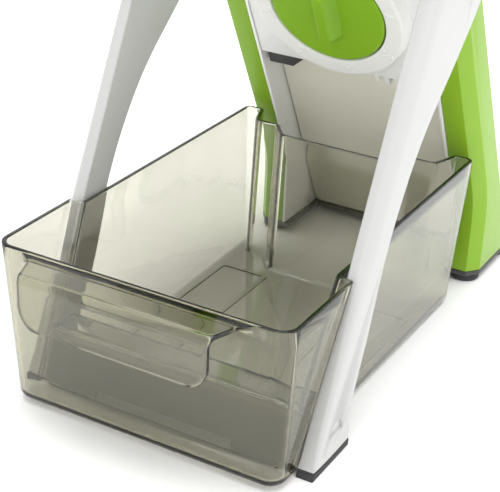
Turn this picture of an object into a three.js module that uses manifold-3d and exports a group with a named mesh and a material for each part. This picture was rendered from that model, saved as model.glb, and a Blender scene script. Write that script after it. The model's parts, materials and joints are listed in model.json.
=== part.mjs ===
// A folding A-frame mandoline slicer.
//
// The green housing is the rear leg of the A and leans forward over a smoked catch drawer. Two curved white legs
// stand in front of it, joined by a bar on the table, and fold back against it. A spring-loaded carriage on the
// back of the housing carries the feed chute: pressing the grip runs the food down over the fixed blade, and a
// dial on the front sets how far the board behind the front plate stands back from the blade.
//
// Millimetres. X is the width, +Y goes back from the drawer's front edge, +Z is up from the table.
// Pieces that lie along the housing are drawn in its own frame: v is the depth behind its front plane and w is the
// distance up that plane, so the frame is (X, v, w) turned back by the lean.

import * as THREE from "three";
import { mergeVertices } from "three/addons/utils/BufferGeometryUtils.js";
import Module from "manifold-3d";

const wasm = await Module();
wasm.setup();

// ---- clearances ----
const GAP = 0.3; // between pieces that touch
const RUN = 0.8; // between pieces that slide or turn past each other

// ---- catch drawer ----
const RIM = 77.4; // height of the drawer's rim above the table
const DRAWER_LENGTH = 198.5; // front edge to rear corners, at the rim
const DRAWER_LIFT = 2; // underside above the table
const DRAWER_WALL = 2.2;
const DRAFT = 0.055; // how far a wall leans in per millimetre of height
const DRAWER_CORNER = 8; // plan radius of the front corners
const NOTCH_ROOM = 3; // between the drawer's shoulder and the front of a leg
const DIAL_BAY = { half: 28, depth: 25 }; // the rear wall steps forward here, clear of the dial
const PLATE_BAY = { half: 48, depth: 14.5 };
const BAY_SLANT = 6; // width of each step in the rear wall
const PULL = { half: 51, tipHalf: 44.5, reach: 17.7, drop: 24, thick: 2.2, corner: 11 };

// ---- housing ----
const LEAN = Math.atan(0.53);
const HOUSING_DEPTH = 27;
const HOUSING_TOP = 352; // along the front plane
const HOUSING_WALL = 2.4;
const SIDE_BOX = 15.6; // width of each hollow green side
const CHAMFER = { across: 5, deep: 6.5 };
const TOE = 24; // the front turns upright this far ahead of where its plane meets the table
const FOOT_HEIGHT = 3.3;
const TRIM_HEIGHT = 2.7;
const HOUSING_FOOT = { radius: 7.5, inset: 8.5 };

// ---- board, front plate and blade ----
const PLATE = { half: 46.5, thick: 2.2, low: 130, high: 329 };
const LINER_WALL = 1.4;
const BLADE_LEVEL = 16; // depth of the surface that the food slides on, below the blade
const PANEL_THICK = 2.4;
const PANEL_TOP = 123; // at the middle of the width
const BLADE_SLANT = THREE.MathUtils.degToRad(-18); // seen from the front, lower at the right
const BLADE = { margin: 4, thick: 0.9, width: 15.5, bevel: 3 };
const SCREW = { head: 3, headHigh: 1.5, shank: 1.4 };
const BOARD = { margin: 2, thick: 2.4, high: 246 };
const SLICE = 4; // thickness set at rest
const SLICE_SPAN = 3.75; // the board moves this much each way from rest
const COMB = { teeth: 13, pitch: 5, first: -20.5, tooth: 2.2, bar: 7, thick: 2.4, reach: 8 };
const COMB_TRAVEL = 8;
const TAB = { left: -45.2, right: -21.9, point: -32, drop: 9.6, thick: 2.2 };
const GROOVE = { width: 1.1, deep: 1.2 }; // down each side edge of the lower panel

// ---- dial ----
const DIAL_W = 172; // centre, up the front plane
const DIAL_RING = { outer: 38.6, inner: 29.3, high: 7 };
const KNOB = { radius: 28.6, face: 7, hollow: 5.2, wall: 3.4 };
const KNOB_BAR = { half: 16.5, foot: 6.5, top: 2.6, high: 6.5 };
const DIAL_SHAFT = 6;
const BOSS_WALL = 4.5;

// ---- press carriage, chute and pusher ----
const PRESS_TRAVEL = 65;
const FRAME = { level: 18.2, thick: 4, low: 137 };
const ARM = { inner: 29, width: 12 };
const GRIP = { half: 54, deep: 30, high: 22, clear: 3 };
const CHUTE = { half: 34, height: 60, wall: 2.2, tilt: THREE.MathUtils.degToRad(17), length: 92, middle: 178 };
const CHUTE_RIM = { proud: 3.5, thick: 2.4 };
const PUSHER = { room: 0.6, short: 10, wall: 2.4, cap: 6, knobHalf: 22, knobDeep: 9, knobHigh: 20 };
const ROD = { radius: 2.5, beside: 6.5, depth: 14, low: 58, high: 300 };
const EAR = { low: 213, high: 221, front: 9.5 };
const SPRING = { radius: 4.3, wire: 0.6, turns: 12 };

// ---- folding legs ----
const LEG_THICK = 8;
const LEG_TOE = 20.5; // front of the foot, behind the drawer's front edge
const PIVOT = { v: 13.5, w: 234.3 };
const HUB_RADIUS = 22;
const PAD_HEIGHT = 3.6;
const LEG_EDGE = 1.2; // bevel round a leg
// Width of a leg behind its straight front edge, at shares of the pivot's height.
const LEG_WIDTHS = [[0, 31], [0.1, 23.5], [0.22, 22], [0.37, 19], [0.49, 21.5], [0.59, 29], [0.7, 45], [0.8, 56]];
const BAR = { thick: 7, low: 3, high: 22.3, relief: 2.5, reliefHalf: 34, tenon: 3.5 };
const PIVOT_PIN = { radius: 4, head: 6, headThick: 2.4 };
const PIVOT_CAP = { radius: 14, thick: 1.8 };
const THUMB_NOTCH = { radius: 6, deep: 1, back: 19, up: 14.5 };

// ---- sizes that follow ----
const tan = Math.tan(LEAN);
const cos = Math.cos(LEAN);
const sin = Math.sin(LEAN);
const FOOT_LINE = DRAWER_LENGTH + 2 + tan * RIM; // where the housing's front plane meets the table
const HOUSING_HALF = PLATE.half + GAP + LINER_WALL + GAP + SIDE_BOX;
const OPENING_HALF = HOUSING_HALF - SIDE_BOX;
const ROD_X = OPENING_HALF + ROD.beside;
const EAR_OUTER = HOUSING_HALF - CHAMFER.across - GAP;
const FRAME_HALF = PLATE.half - GAP;
const BLADE_HALF = PLATE.half - BLADE.margin;
const BOARD_HALF = PLATE.half - BOARD.margin;
const LEG_IN = HOUSING_HALF + RUN;
const LEG_OUT = LEG_IN + LEG_THICK;
const DRAWER_FRONT = LEG_OUT - 3.2;
const DRAWER_REAR = LEG_IN - 1.7;
const TRIM_TOP = FOOT_HEIGHT + GAP + TRIM_HEIGHT;
const COVER = { half: HOUSING_HALF - CHAMFER.across - 2.5, low: 30, high: HOUSING_TOP - 18 };
COVER.screwX = COVER.half - 4;
const COVER_SCREWS = [COVER.low + 12, COVER.high - 12]; // heights up the front plane
const PIVOT_Y = FOOT_LINE + PIVOT.v * cos - PIVOT.w * sin;
const PIVOT_Z = PIVOT.v * sin + PIVOT.w * cos;
const LEG_RUN = Math.hypot(PIVOT_Y - LEG_TOE, PIVOT_Z);
const LEG_ANGLE = Math.atan2(PIVOT_Y - LEG_TOE, PIVOT_Z) - Math.asin(HUB_RADIUS / LEG_RUN); // tangent to the hub
const RAKE = Math.tan(LEG_ANGLE); // how far a leg's front edge goes back per millimetre of height
const BOARD_LEVEL = BLADE_LEVEL - SLICE; // depth of the board's rear surface at rest

// ---- colours, roughness and metalness ----
const FINISH = {
  green: [0x8dbb2f, 0.35, 0],
  white: [0xf1f1ef, 0.4, 0],
  panel: [0xdcdcd6, 0.45, 0],
  dark: [0x444443, 0.6, 0],
  rubber: [0x3b3b3d, 0.85, 0],
  steel: [0xc9ccd0, 0.25, 1],
  smoked: [0x8a8a78, 0.1, 0],
};

// ---- making solids ----

/** A closed geometry as a manifold solid, facing out. */
function solid(geometry) {
  const loose = geometry.index ? geometry.toNonIndexed() : geometry;
  const bare = new THREE.BufferGeometry().setAttribute("position", loose.getAttribute("position"));
  const merged = mergeVertices(bare, 1e-4);
  const triVerts = new Uint32Array(merged.index.array);
  const vertProperties = new Float32Array(merged.getAttribute("position").array);
  const body = new wasm.Manifold(new wasm.Mesh({ numProp: 3, vertProperties, triVerts }));
  if (body.volume() > 0) return body;
  return new wasm.Manifold(new wasm.Mesh({ numProp: 3, vertProperties, triVerts: triVerts.reverse() }));
}

/** The surface of a manifold solid as a geometry. */
function skin(body) {
  const mesh = body.getMesh();
  const geometry = new THREE.BufferGeometry();
  geometry.setAttribute("position", new THREE.BufferAttribute(new Float32Array(mesh.vertProperties), 3));
  geometry.setIndex(new THREE.BufferAttribute(new Uint32Array(mesh.triVerts), 1));
  geometry.computeVertexNormals();
  return geometry;
}

/** A shape from corner points, or from a function that draws it. */
function shapeOf(outline) {
  if (Array.isArray(outline)) return new THREE.Shape(outline.map(([a, b]) => new THREE.Vector2(a, b)));
  const shape = new THREE.Shape();
  outline(shape);
  return shape;
}

/** An outline in (Y, Z) carried across the width from x0 to x1, with a chamfer at both ends if one is given. */
function across(outline, x0, x1, chamfer = null, curveSegments = 8) {
  const bevel = chamfer ? { bevelThickness: chamfer.across, bevelSize: chamfer.deep, bevelOffset: -chamfer.deep } : {};
  const end = chamfer ? chamfer.across : 0;
  const geometry = new THREE.ExtrudeGeometry(shapeOf(outline), {
    depth: x1 - x0 - 2 * end,
    curveSegments,
    bevelEnabled: Boolean(chamfer),
    bevelSegments: 1,
    ...bevel,
  });
  geometry.applyMatrix4(new THREE.Matrix4().set(0, 0, 1, x0 + end, 1, 0, 0, 0, 0, 1, 0, 0, 0, 0, 0, 1));
  return solid(geometry);
}

/** An outline in (X, w) carried through the depth from v0 to v1. */
function deep(outline, v0, v1) {
  const geometry = new THREE.ExtrudeGeometry(shapeOf(outline), { depth: v1 - v0, curveSegments: 8, bevelEnabled: false });
  geometry.applyMatrix4(new THREE.Matrix4().set(1, 0, 0, 0, 0, 0, -1, v1, 0, 1, 0, 0, 0, 0, 0, 1));
  return solid(geometry);
}

/** A box between two corners. */
function box([x0, y0, z0], [x1, y1, z1]) {
  const geometry = new THREE.BoxGeometry(x1 - x0, y1 - y0, z1 - z0);
  geometry.translate((x0 + x1) / 2, (y0 + y1) / 2, (z0 + z1) / 2);
  return solid(geometry);
}

/** A closed profile of (radius, height) pairs turned about the Y axis. */
function turned(profile, segments = 32) {
  const closed = [...profile, profile[0]].map(([r, h]) => new THREE.Vector2(r, h));
  return solid(new THREE.LatheGeometry(closed, segments));
}

/** A round bar about the Y axis, from y0 to y1. */
function roundBar(radius, y0, y1, segments = 24) {
  return turned([[0, y0], [radius, y0], [radius, y1], [0, y1]], segments);
}

/** A round bar across the width, from x0 to x1, with its axis at (y, z). */
function axle(radius, x0, x1, y, z, segments = 24) {
  return roundBar(radius, -x1, -x0, segments).rotate([0, 0, 90]).translate([0, y, z]);
}

/** A polygon moved inwards by a distance, or outwards by a negative one; its points run anticlockwise. */
function inset(points, distance) {
  return points.map((point, i) => {
    const before = points[(i + points.length - 1) % points.length];
    const after = points[(i + 1) % points.length];
    const [inX, inY] = unit(point[0] - before[0], point[1] - before[1]);
    const [outX, outY] = unit(after[0] - point[0], after[1] - point[1]);
    const half = 1 + inX * outX + inY * outY;
    return [point[0] - ((inY + outY) * distance) / half, point[1] + ((inX + outX) * distance) / half];
  });
}

function unit(x, y) {
  const length = Math.hypot(x, y);
  return [x / length, y / length];
}

/** A solid between two level outlines with matching points. */
function loft(low, high, z0, z1) {
  const count = low.length;
  const faces = THREE.ShapeUtils.triangulateShape(low.map(([x, y]) => new THREE.Vector2(x, y)), []);
  const index = faces.flatMap(([a, b, c]) => [c, b, a, a + count, b + count, c + count]);
  for (let i = 0; i < count; i++) {
    const next = (i + 1) % count;
    index.push(i, next, next + count, i, next + count, i + count);
  }
  const position = [...low.flatMap(([x, y]) => [x, y, z0]), ...high.flatMap(([x, y]) => [x, y, z1])];
  const geometry = new THREE.BufferGeometry();
  geometry.setAttribute("position", new THREE.Float32BufferAttribute(position, 3));
  geometry.setIndex(index);
  return solid(geometry);
}

/** A quarter of a circle as points, from one angle to the other, in quarter turns. */
function arc(x, y, radius, from, to, steps = 5) {
  return Array.from({ length: steps + 1 }, (_, i) => {
    const angle = ((from + ((to - from) * i) / steps) * Math.PI) / 2;
    return [x + radius * Math.cos(angle), y + radius * Math.sin(angle)];
  });
}

// ---- assembling ----

const slicer = new THREE.Group();
const incline = new THREE.Group(); // the housing's own frame
incline.position.set(0, FOOT_LINE, 0);
incline.rotation.x = LEAN;
slicer.add(incline);

/** Adds one named piece to a group. */
function piece(name, body, finish, group = slicer) {
  const [color, roughness, metalness] = FINISH[finish];
  const mesh = new THREE.Mesh(skin(body), new THREE.MeshStandardMaterial({ color, roughness, metalness }));
  mesh.name = name;
  group.add(mesh);
  return mesh;
}

/** Adds a left and a right copy of a piece that is drawn on the right. */
function pair(name, body, finish, group = slicer) {
  piece(name + "_right", body, finish, group);
  piece(name + "_left", body.mirror([1, 0, 0]), finish, group);
}

/** A point of the housing's frame in (Y, Z). */
const world = (v, w) => [FOOT_LINE + v * cos - w * sin, v * sin + w * cos];

/** A solid drawn in (X, Y, Z), seen from the housing's frame. */
const toIncline = (body) => body.translate([0, -FOOT_LINE, 0]).rotate([-THREE.MathUtils.radToDeg(LEAN), 0, 0]);

/** Front edge of the legs at a height. */
const legFront = (z) => LEG_TOE + RAKE * z;

// ---- housing ----

/** The housing's side outline, moved in by a wall: upright toe, leaning front and back, rounded bend and top. */
function housingOutline(wall) {
  return (shape) => {
    const below = -30;
    const front = FOOT_LINE - TOE + wall;
    const bend = (FOOT_LINE + wall / cos - front) / tan;
    const top = HOUSING_TOP - wall;
    const round = 12 - wall;
    const soft = 14;
    const back = HOUSING_DEPTH - wall;
    shape.moveTo(front, below);
    shape.lineTo(front, bend - soft);
    shape.quadraticCurveTo(front, bend, front - soft * sin, bend + soft * cos);
    shape.lineTo(...world(wall, top - round));
    shape.quadraticCurveTo(...world(wall, top), ...world(wall + round, top));
    shape.lineTo(...world(back - round, top));
    shape.quadraticCurveTo(...world(back, top), ...world(back, top - round));
    shape.lineTo(FOOT_LINE + back / cos - tan * below, below);
  };
}

/** The housing as a solid block with chamfered sides, moved in by a wall. */
function housingBlock(wall) {
  const shrink = wall * (2 - Math.SQRT2);
  const chamfer = { across: CHAMFER.across - shrink, deep: CHAMFER.deep - shrink };
  return across(housingOutline(wall), wall - HOUSING_HALF, HOUSING_HALF - wall, chamfer);
}

function buildHousing() {
  const windowLow = CHUTE.middle - CHUTE.height / 2 - PRESS_TRAVEL - 5;
  const windowHigh = CHUTE.middle + CHUTE.height / 2 + 10;
  const windowHalf = CHUTE.half + CHUTE.wall + 2.5;
  const coverHalf = COVER.half;
  const coverLow = COVER.low;
  const coverHigh = COVER.high;
  const far = 500;

  const opening = box([-OPENING_HALF, -60, -60], [OPENING_HALF, BLADE_LEVEL, PLATE.high + GAP]);
  const back = box([-coverHalf, BLADE_LEVEL, coverLow], [coverHalf, far, coverHigh]);
  const armSlot = box(
    [ARM.inner - RUN, FRAME.level - RUN, HOUSING_TOP - 40],
    [ARM.inner + ARM.width + RUN, FRAME.level + FRAME.thick + RUN, HOUSING_TOP + 40],
  );
  const pinHole = axle(PIVOT_PIN.radius + GAP, -far, far, PIVOT.v, PIVOT.w);
  const table = toIncline(box([-far, -far, -far], [far, far, TRIM_TOP + GAP]));
  const shell = toIncline(housingBlock(0).subtract(housingBlock(HOUSING_WALL)))
    .subtract(opening)
    .subtract(back)
    .subtract(armSlot)
    .subtract(armSlot.mirror([1, 0, 0]))
    .subtract(pinHole)
    .subtract(table);
  piece("housing_shell", shell, "green", incline);

  const cover = box(
    [GAP - coverHalf, HOUSING_DEPTH - HOUSING_WALL, coverLow + GAP],
    [coverHalf - GAP, HOUSING_DEPTH, coverHigh - GAP],
  ).subtract(box([-windowHalf, 0, windowLow], [windowHalf, far, windowHigh]));
  const screwSpots = COVER_SCREWS.flatMap((w) => [[COVER.screwX, w], [-COVER.screwX, w]]);
  const screwHole = roundBar(SCREW.shank + GAP, 0, far, 16);
  const coverDrilled = screwSpots.reduce((body, [x, w]) => body.subtract(screwHole.translate([x, 0, w])), cover);
  piece("rear_cover", coverDrilled, "green", incline);
  const screw = roundBar(SCREW.shank, HOUSING_DEPTH - 9, HOUSING_DEPTH + GAP, 12).add(
    roundBar(SCREW.head, HOUSING_DEPTH + GAP, HOUSING_DEPTH + GAP + SCREW.headHigh, 16),
  );
  screwSpots.forEach(([x, w], i) => piece(`cover_screw_${i + 1}`, screw.translate([x, 0, w]), "steel", incline));

  const trimSlab = box([-far, 0, FOOT_HEIGHT + GAP], [far, far, TRIM_TOP]);
  const panelFront = FOOT_LINE + (BLADE_LEVEL - PANEL_THICK) / cos - tan * TRIM_TOP;
  const bay = box([2 - PLATE.half, 0, 0], [PLATE.half - 2, panelFront - 1, far]); // open ahead of the lower panel
  piece("base_trim", housingBlock(0).intersect(trimSlab).subtract(bay), "dark");
  const frontY = FOOT_LINE - TOE + HOUSING_FOOT.inset;
  const rearY = FOOT_LINE + HOUSING_DEPTH / cos - HOUSING_FOOT.inset - 3;
  const foot = roundBar(HOUSING_FOOT.radius, 0, FOOT_HEIGHT, 20).rotate([90, 0, 0]);
  const footX = HOUSING_HALF - HOUSING_FOOT.inset;
  pair("foot_front", foot.translate([footX, frontY, 0]), "rubber");
  pair("foot_rear", foot.translate([footX, rearY, 0]), "rubber");
}

// ---- liners, rods and springs ----

function buildLiners() {
  const inner = OPENING_HALF - GAP - LINER_WALL;
  const low = TRIM_TOP + GAP;
  const front = FOOT_LINE - TOE - 0.4;
  const bend = (FOOT_LINE - 0.4 / cos - front) / tan;
  const outline = [
    [front, low],
    [FOOT_LINE + (HOUSING_DEPTH - HOUSING_WALL - GAP) / cos - tan * low, low],
    world(HOUSING_DEPTH - HOUSING_WALL - GAP, PLATE.high),
    world(-0.4, PLATE.high),
    [front, bend],
  ];
  const wall = toIncline(across(outline, inner, OPENING_HALF - GAP));
  const slot = box(
    [0, EAR.front - RUN, EAR.low - PRESS_TRAVEL - 2],
    [OPENING_HALF, FRAME.level + FRAME.thick + RUN, EAR.high + 2],
  );
  const shelf = (w) => box([inner + GAP, EAR.front, w], [EAR_OUTER, FRAME.level + 2, w + 6]);
  const bore = roundBar(ROD.radius + GAP, ROD.low, ROD.high, 16).rotate([90, 0, 0]).translate([ROD_X, ROD.depth, 0]);
  const back = HOUSING_DEPTH - HOUSING_WALL - GAP;
  const lug = (w) => box([inner + GAP, FRAME.level, w - 5], [COVER.half - 1, back, w + 5]);
  const screwBore = (w) => roundBar(SCREW.shank + GAP, 0, 100, 16).translate([COVER.screwX, 0, w]);
  const fixings = [shelf(ROD.low), shelf(ROD.high - 6), ...COVER_SCREWS.map(lug)];
  const bores = [slot, bore, ...COVER_SCREWS.map(screwBore)];
  const joined = fixings.reduce((body, part) => body.add(part), wall);
  const liner = bores.reduce((body, cut) => body.subtract(cut), joined);
  pair("liner", liner, "white", incline);

  const rod = roundBar(ROD.radius, ROD.low, ROD.high, 16).rotate([90, 0, 0]).translate([ROD_X, ROD.depth, 0]);
  pair("guide_rod", rod, "steel", incline);

  const low0 = ROD.low + 6 + SPRING.wire + GAP;
  const high0 = EAR.low - SPRING.wire - GAP;
  class Coil extends THREE.Curve {
    getPoint(t, target = new THREE.Vector3()) {
      const angle = 2 * Math.PI * SPRING.turns * t;
      const x = ROD_X + SPRING.radius * Math.cos(angle);
      return target.set(x, ROD.depth + SPRING.radius * Math.sin(angle), low0 + (high0 - low0) * t);
    }
  }
  const wire = shapeOf(arc(0, 0, SPRING.wire, 0, 4, 5).slice(0, 5));
  const coil = new THREE.ExtrudeGeometry(wire, { steps: SPRING.turns * 10, extrudePath: new Coil(), bevelEnabled: false });
  pair("return_spring", solid(coil), "steel", incline);
}

// ---- front plate, board and blade ----

/** A solid drawn level across the width, turned to the blade's slant about the point (0, PANEL_TOP). */
const slanted = (body) =>
  body.translate([0, 0, -PANEL_TOP]).rotate([0, -THREE.MathUtils.radToDeg(BLADE_SLANT), 0]).translate([0, 0, PANEL_TOP]);

function buildBoard() {
  const far = 200;
  const shaftHole = roundBar(DIAL_SHAFT + GAP + BOSS_WALL + RUN, -far, far, 32).translate([0, 0, DIAL_W]);
  const plate = box([-PLATE.half, 0, PLATE.low], [PLATE.half, PLATE.thick, PLATE.high]).subtract(shaftHole);
  piece("front_plate", plate, "white", incline);

  const panelLow = (TRIM_TOP + GAP + RUN - (BLADE_LEVEL - PANEL_THICK) * sin) / cos;
  const bladeLow = PANEL_TOP - BLADE.width + 9.5;
  const above = slanted(box([-far, -far, PANEL_TOP + 4], [far, far, far * 3]));
  const rebate = slanted(box([-far, BLADE_LEVEL - BLADE.thick - 0.4, bladeLow - GAP], [far, far, far * 3]));
  const screwX = BLADE_HALF - 8;
  const screwHoles = [-screwX, screwX].map((x) =>
    slanted(roundBar(SCREW.shank + GAP, -far, far, 12).translate([x, 0, bladeLow + 4.5])),
  );
  const groove = box(
    [PLATE.half - GROOVE.width, 0, -far],
    [far, BLADE_LEVEL - PANEL_THICK + GROOVE.deep, PLATE.low - TAB.drop],
  );
  const panel = [above, rebate, groove, groove.mirror([1, 0, 0]), ...screwHoles].reduce(
    (body, cut) => body.subtract(cut),
    box([-PLATE.half, BLADE_LEVEL - PANEL_THICK, panelLow], [PLATE.half, BLADE_LEVEL, far]),
  );
  piece("lower_panel", panel, "panel", incline);

  const rear = BLADE_LEVEL - 0.1;
  const front = rear - BLADE.thick;
  const edge = bladeLow + BLADE.width;
  const section = [[front, bladeLow], [rear, bladeLow], [rear, edge], [front, edge - BLADE.bevel]];
  const blade = slanted(across(section, -BLADE_HALF, BLADE_HALF));
  piece("main_blade", screwHoles.reduce((body, cut) => body.subtract(cut), blade), "steel", incline);
  const headBack = BLADE_LEVEL - PANEL_THICK - GAP;
  const screw = roundBar(SCREW.shank, headBack, rear, 12).add(roundBar(SCREW.head, headBack - SCREW.headHigh, headBack, 16));
  pairOfSlanted("blade_screw", screw, screwX, bladeLow + 4.5, "steel");

  buildComb(edge);
}

/** Two copies of a piece on the slanted blade, one at each end. */
function pairOfSlanted(name, body, x, w, finish) {
  piece(name + "_right", slanted(body.translate([x, 0, w])), finish, incline);
  piece(name + "_left", slanted(body.translate([-x, 0, w])), finish, incline);
}

/** The julienne comb and its tab, and the board behind them with a slot for each tooth. */
function buildComb(bladeEdge) {
  const far = 200;
  const barFront = PLATE.thick + 0.5;
  const barLow = bladeEdge + 4;
  const bar = slanted(box([-BOARD_HALF + 4, barFront, barLow], [BOARD_HALF - 4, barFront + COMB.thick, barLow + COMB.bar]));
  const drop = (x) => -x * Math.tan(-BLADE_SLANT); // of the slanted line at x
  let comb = bar;
  let slots = null;
  for (let i = 0; i < COMB.teeth; i++) {
    const x = COMB.first + i * COMB.pitch;
    const low = barLow + drop(x) - COMB.reach;
    const tooth = box([x - COMB.tooth / 2, barFront, low], [x + COMB.tooth / 2, BLADE_LEVEL - BLADE.thick - 0.6, low + COMB.reach]);
    const root = box([x - COMB.tooth / 2, barFront, low], [x + COMB.tooth / 2, barFront + COMB.thick, low + COMB.reach + 2]);
    comb = comb.add(tooth).add(root);
    const slotHalf = COMB.tooth / 2 + 0.5;
    const slot = box([x - slotHalf, 0, low], [x + slotHalf, far, low + COMB.reach + COMB_TRAVEL + 1]);
    slots = slots ? slots.add(slot) : slot;
  }
  piece("julienne_comb", comb, "white", incline);

  const tabTop = barLow + drop(TAB.right) - GAP;
  const tabLow = PLATE.low - TAB.drop;
  const tabOutline = [[TAB.left, tabLow], [TAB.point, tabLow], [TAB.right, tabLow + TAB.drop], [TAB.right, tabTop], [TAB.left, tabTop]];
  piece("julienne_tab", deep(tabOutline, barFront, barFront + TAB.thick), "dark", incline);

  const boardLow = slanted(box([-far, -far, -far], [far, far, barLow - 0.2]));
  const bossHole = roundBar(DIAL_SHAFT + GAP, -far, far).translate([0, 0, DIAL_W]);
  const boss = roundBar(DIAL_SHAFT + GAP + BOSS_WALL, -0.2, BOARD_LEVEL - 1, 32).translate([0, 0, DIAL_W]);
  const plug = roundBar(DIAL_SHAFT + GAP + BOSS_WALL, BOARD_LEVEL - 1, BOARD_LEVEL, 32).translate([0, 0, DIAL_W]);
  const board = box([-BOARD_HALF, BOARD_LEVEL - BOARD.thick, 0], [BOARD_HALF, BOARD_LEVEL, BOARD.high])
    .subtract(boardLow)
    .subtract(slots)
    .add(boss)
    .subtract(bossHole)
    .add(plug);
  piece("thickness_board", board, "white", incline);
}

// ---- dial ----

function buildDial() {
  const { outer, inner, high } = DIAL_RING;
  const ring = turned([[inner, -GAP], [inner, 0.8 - high], [inner + 0.8, -high], [outer - 1, -high], [outer, 1 - high], [outer + 0.6, -GAP]], 64);
  piece("dial_ring", ring.translate([0, 0, DIAL_W]), "white", incline);

  const { radius, face, hollow, wall } = KNOB;
  const disc = turned(
    [[0, -face], [radius - 1.2, -face], [radius - 0.3, 0.4 - face], [radius, 1.2 - face], [radius, -1], [radius - wall, -1], [radius - wall, -hollow], [0, -hollow]],
    64,
  );
  const { half, foot, top, high: barHigh } = KNOB_BAR;
  const ridge = loft(
    [[-foot, -half], [foot, -half], [foot, half], [-foot, half]],
    [[-top, 4 - half], [top, 4 - half], [top, half - 4], [-top, half - 4]],
    face - 0.5,
    face + barHigh,
  ).rotate([90, 0, 0]);
  piece("dial_knob", disc.add(ridge).translate([0, 0, DIAL_W]), "green", incline);

  const shaftEnd = BOARD_LEVEL - SLICE_SPAN - 1 - RUN;
  piece("dial_shaft", roundBar(DIAL_SHAFT, GAP - hollow, shaftEnd).translate([0, 0, DIAL_W]), "white", incline);
}

// ---- press carriage, chute and pusher ----

/** A rectangle tube section in (X, height), grown by a wall. */
const chuteSection = (grow) => {
  const half = CHUTE.half + grow;
  const tall = CHUTE.height / 2 + grow;
  return [[-half, -tall], [half, -tall], [half, tall], [-half, tall]];
};

/** A solid drawn along the chute's axis, which is its own v axis, placed on the carriage. */
const alongChute = (body) =>
  body.rotate([THREE.MathUtils.radToDeg(CHUTE.tilt), 0, 0]).translate([0, BLADE_LEVEL, CHUTE.middle]);

function buildCarriage() {
  const far = 300;
  const frameTop = HOUSING_TOP - 60;
  const back = FRAME.level + FRAME.thick;
  const hole = alongChute(deep(chuteSection(CHUTE.wall + GAP), -60, 60));
  const gripLow = HOUSING_TOP + PRESS_TRAVEL + GRIP.clear;
  const armTop = gripLow + 5;
  const arm = box([ARM.inner, FRAME.level, frameTop - 10], [ARM.inner + ARM.width, back, armTop]);
  const ear = box([FRAME_HALF - 5, FRAME.level, EAR.low], [EAR_OUTER, back, EAR.high]).add(
    box([OPENING_HALF + RUN, EAR.front, EAR.low], [EAR_OUTER, back, EAR.high]),
  );
  const rodHole = roundBar(ROD.radius + GAP, -far, far, 16).rotate([90, 0, 0]).translate([ROD_X, ROD.depth, 0]);
  const half = box([0, FRAME.level, FRAME.low], [FRAME_HALF, back, frameTop]).add(arm).add(ear).subtract(rodHole);
  const frame = half.add(half.mirror([1, 0, 0])).subtract(hole);
  piece("carriage_frame", frame, "white", incline);

  const front = box([-far, BLADE_LEVEL + 0.6, -far], [far, far, far * 3]);
  const tube = deep(chuteSection(CHUTE.wall), -60, CHUTE.length).subtract(deep(chuteSection(0), -61, CHUTE.length + 1));
  const rim = deep(chuteSection(CHUTE_RIM.proud), CHUTE.length - CHUTE_RIM.thick, CHUTE.length).subtract(
    deep(chuteSection(0), 0, CHUTE.length + 1),
  );
  piece("feed_chute", alongChute(tube.add(rim)).intersect(front), "white", incline);

  const gripMiddle = FRAME.level + FRAME.thick / 2;
  const gripShape = (shape) => {
    shape.absellipse(gripMiddle, gripLow + GRIP.high / 2, GRIP.deep / 2, GRIP.high / 2, 0, 2 * Math.PI);
  };
  const socket = box([ARM.inner - GAP, FRAME.level - GAP, 0], [ARM.inner + ARM.width + GAP, back + GAP, armTop + GAP]);
  const grip = across(gripShape, -GRIP.half, GRIP.half, { across: 4, deep: 4 })
    .subtract(socket)
    .subtract(socket.mirror([1, 0, 0]));
  piece("press_grip", grip, "green", incline);
  buildPusher();
}

function buildPusher() {
  const { room, short, wall, cap, knobHalf, knobDeep, knobHigh } = PUSHER;
  const seat = CHUTE.length + GAP;
  const shell = deep(chuteSection(-room), short, seat).subtract(deep(chuteSection(-room - wall), short + wall, seat + 1));
  piece("pusher_body", alongChute(shell), "white", incline);
  const lid = deep(chuteSection(CHUTE_RIM.proud), seat + GAP, seat + GAP + cap);
  const tongue = deep(chuteSection(-room - wall - GAP), seat - 4, seat + GAP + 1);
  const knob = box([-knobHalf, seat + cap, -knobDeep], [knobHalf, seat + cap + knobHigh, knobDeep]);
  piece("pusher_cap", alongChute(lid.add(tongue).add(knob)), "green", incline);
}

// ---- legs ----

/** A leg in (Y, Z): straight front edge, round hub, arched rear edge and a flared foot. */
function legOutline(shape) {
  const rear = LEG_WIDTHS.map(([share, width]) => {
    const z = Math.max(PAD_HEIGHT, share * PIVOT_Z);
    return new THREE.Vector2(legFront(z) + width, z);
  });
  rear.push(new THREE.Vector2(PIVOT_Y + HUB_RADIUS, PIVOT_Z * 0.92));
  rear.push(new THREE.Vector2(PIVOT_Y + HUB_RADIUS, PIVOT_Z));
  shape.moveTo(legFront(PAD_HEIGHT), PAD_HEIGHT);
  shape.lineTo(rear[0].x, rear[0].y);
  shape.splineThru(rear.slice(1));
  shape.absarc(PIVOT_Y, PIVOT_Z, HUB_RADIUS, 0, Math.PI - LEG_ANGLE, false);
}

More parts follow.
